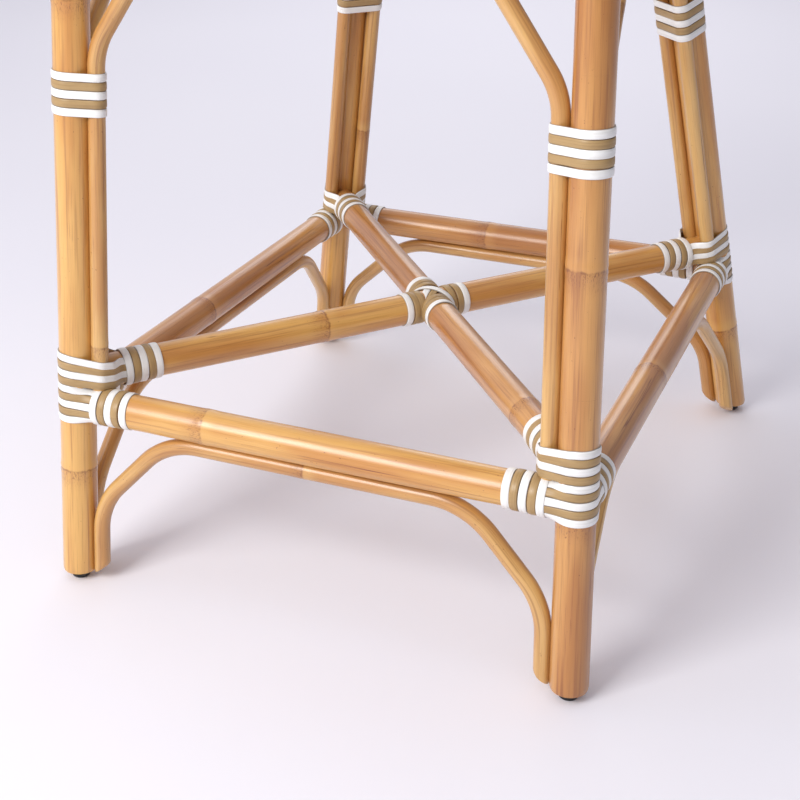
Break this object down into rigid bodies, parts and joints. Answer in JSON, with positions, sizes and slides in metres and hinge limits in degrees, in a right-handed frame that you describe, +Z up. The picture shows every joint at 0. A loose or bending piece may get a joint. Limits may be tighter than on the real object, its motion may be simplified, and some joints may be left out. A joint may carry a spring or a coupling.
{
  "type": "bar stool",
  "caption": "Backless bar stool of rattan poles with a boxed footrest, crossed stretchers, bent arches and braces, joints bound with flat strips, and a woven seat.",
  "frame": {"origin": "centre of the footprint on the floor", "axes": "+Z up, -Y towards the front of the seat, +X to the right for a viewer in front of the stool"},
  "size_m": [0.5207, 0.6093, 0.762],
  "materials": {
    "rattan_pole": "satin lacquer",
    "rattan_rod": "satin lacquer",
    "white_strip": "smooth, slightly glossy",
    "tan_strip": "smooth, slightly glossy",
    "seat_weave": "woven flat strips",
    "glide": "satin black",
    "steel": "zinc plated"
  },
  "bodies": {
    "root": {"arch_front": "rattan_rod", "arch_left": "rattan_rod", "arch_rear": "rattan_rod", "arch_right": "rattan_rod", "brace_front": "rattan_rod", "brace_left": "rattan_rod", "brace_rear": "rattan_rod", "brace_right": "rattan_rod", "corner_wrap_tan_front_left": "tan_strip", "corner_wrap_tan_front_right": "tan_strip", "corner_wrap_tan_rear_left": "tan_strip", "corner_wrap_tan_rear_right": "tan_strip", "corner_wrap_white_front_left": "white_strip", "corner_wrap_white_front_right": "white_strip", "corner_wrap_white_rear_left": "white_strip", "corner_wrap_white_rear_right": "white_strip", "crossing_lashing_tan": "tan_strip", "crossing_lashing_white": "white_strip", "footrest_rail_front": "rattan_pole", "footrest_rail_left": "rattan_pole", "footrest_rail_rear": "rattan_pole", "footrest_rail_right": "rattan_pole", "glide_front_left": "glide", "glide_front_right": "glide", "glide_nails": "steel", "glide_rear_left": "glide", "glide_rear_right": "glide", "joint_screws": "steel", "leg_front_left": "rattan_pole", "leg_front_right": "rattan_pole", "leg_rear_left": "rattan_pole", "leg_rear_right": "rattan_pole", "rail_collars_tan_front": "tan_strip", "rail_collars_tan_left": "tan_strip", "rail_collars_tan_rear": "tan_strip", "rail_collars_tan_right": "tan_strip", "rail_collars_white_front": "white_strip", "rail_collars_white_left": "white_strip", "rail_collars_white_rear": "white_strip", "rail_collars_white_right": "white_strip", "rod_nails": "steel", "seat_bar_front": "rattan_pole", "seat_bar_rear": "rattan_pole", "seat_panel": "seat_weave", "seat_ring": "rattan_pole", "seat_screws": "steel", "stretcher_collars_tan_over": "tan_strip", "stretcher_collars_tan_under": "tan_strip", "stretcher_collars_white_over": "white_strip", "stretcher_collars_white_under": "white_strip", "stretcher_over": "rattan_pole", "stretcher_under": "rattan_pole", "upper_binding_tan_front_left": "tan_strip", "upper_binding_tan_front_right": "tan_strip", "upper_binding_tan_rear_left": "tan_strip", "upper_binding_tan_rear_right": "tan_strip", "upper_binding_white_front_left": "white_strip", "upper_binding_white_front_right": "white_strip", "upper_binding_white_rear_left": "white_strip", "upper_binding_white_rear_right": "white_strip"}
  },
  "joints": []
}
